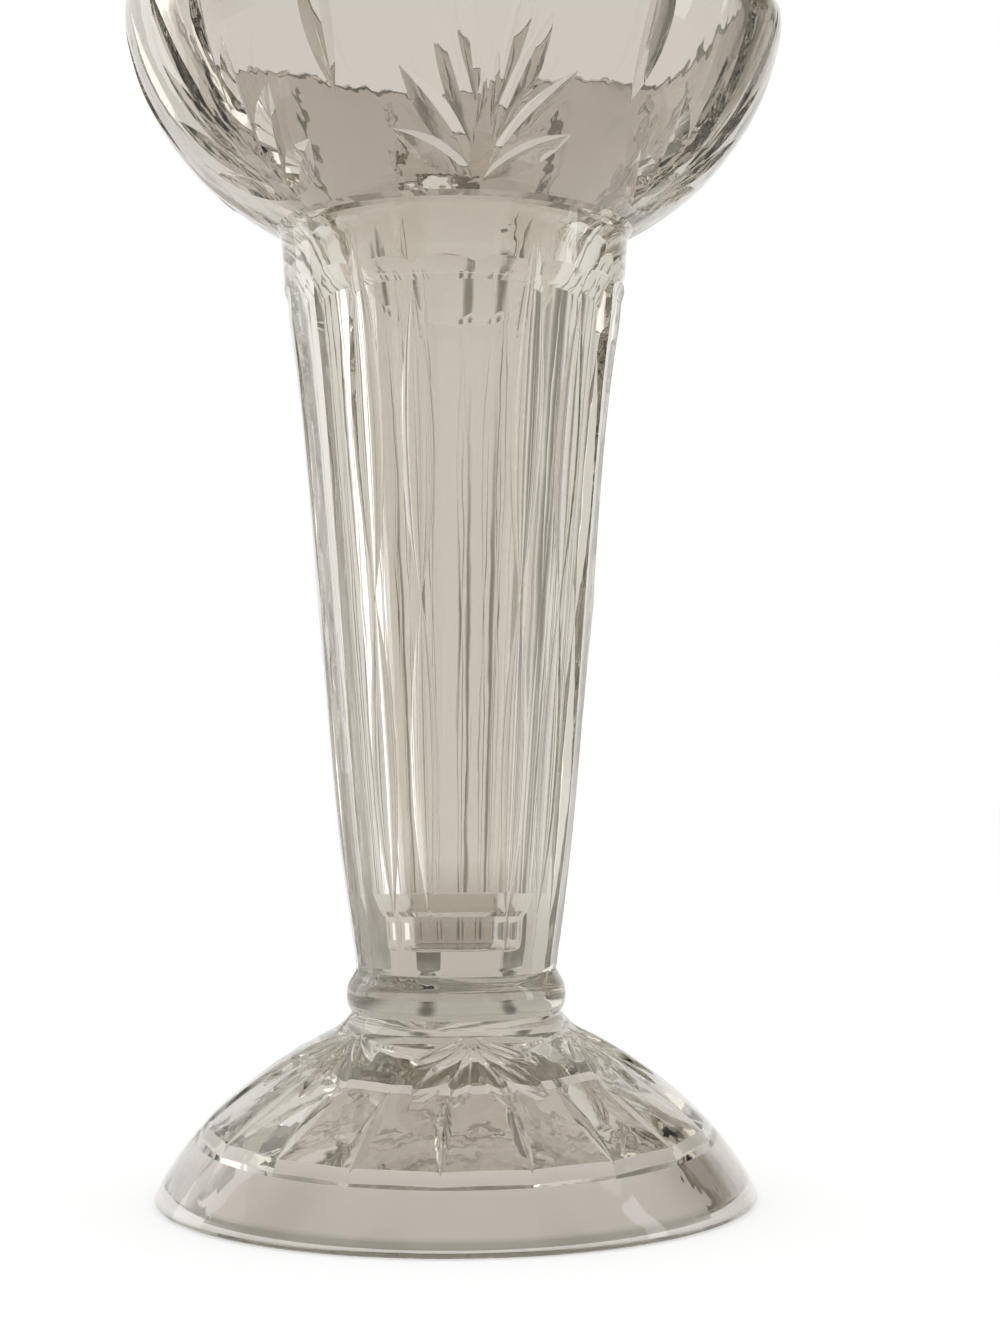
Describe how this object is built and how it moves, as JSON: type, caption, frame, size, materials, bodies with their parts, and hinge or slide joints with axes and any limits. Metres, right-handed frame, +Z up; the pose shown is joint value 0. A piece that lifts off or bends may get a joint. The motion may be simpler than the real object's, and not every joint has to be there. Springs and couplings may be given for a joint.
{
  "type": "footed cut glass vase",
  "caption": "Footed trumpet vase in cut crystal: domed foot, collar, tall panelled stem with lens cuts, and a round bowl with leaf sprays, spears and a scalloped, notched rim.",
  "frame": {"origin": "centre of the foot's contact ring, on the table", "axes": "+Z up along the vase's axis, -Y towards the side with a leaf spray in the middle"},
  "size_m": [0.1248, 0.125, 0.2283],
  "materials": {
    "bowl_glass": "polished clear lead crystal",
    "stem_glass": "polished clear lead crystal",
    "collar_glass": "polished clear lead crystal",
    "foot_glass": "polished clear lead crystal"
  },
  "bodies": {
    "root": {"bowl": "bowl_glass", "stem": "stem_glass", "collar": "collar_glass", "foot": "foot_glass"}
  },
  "joints": []
}
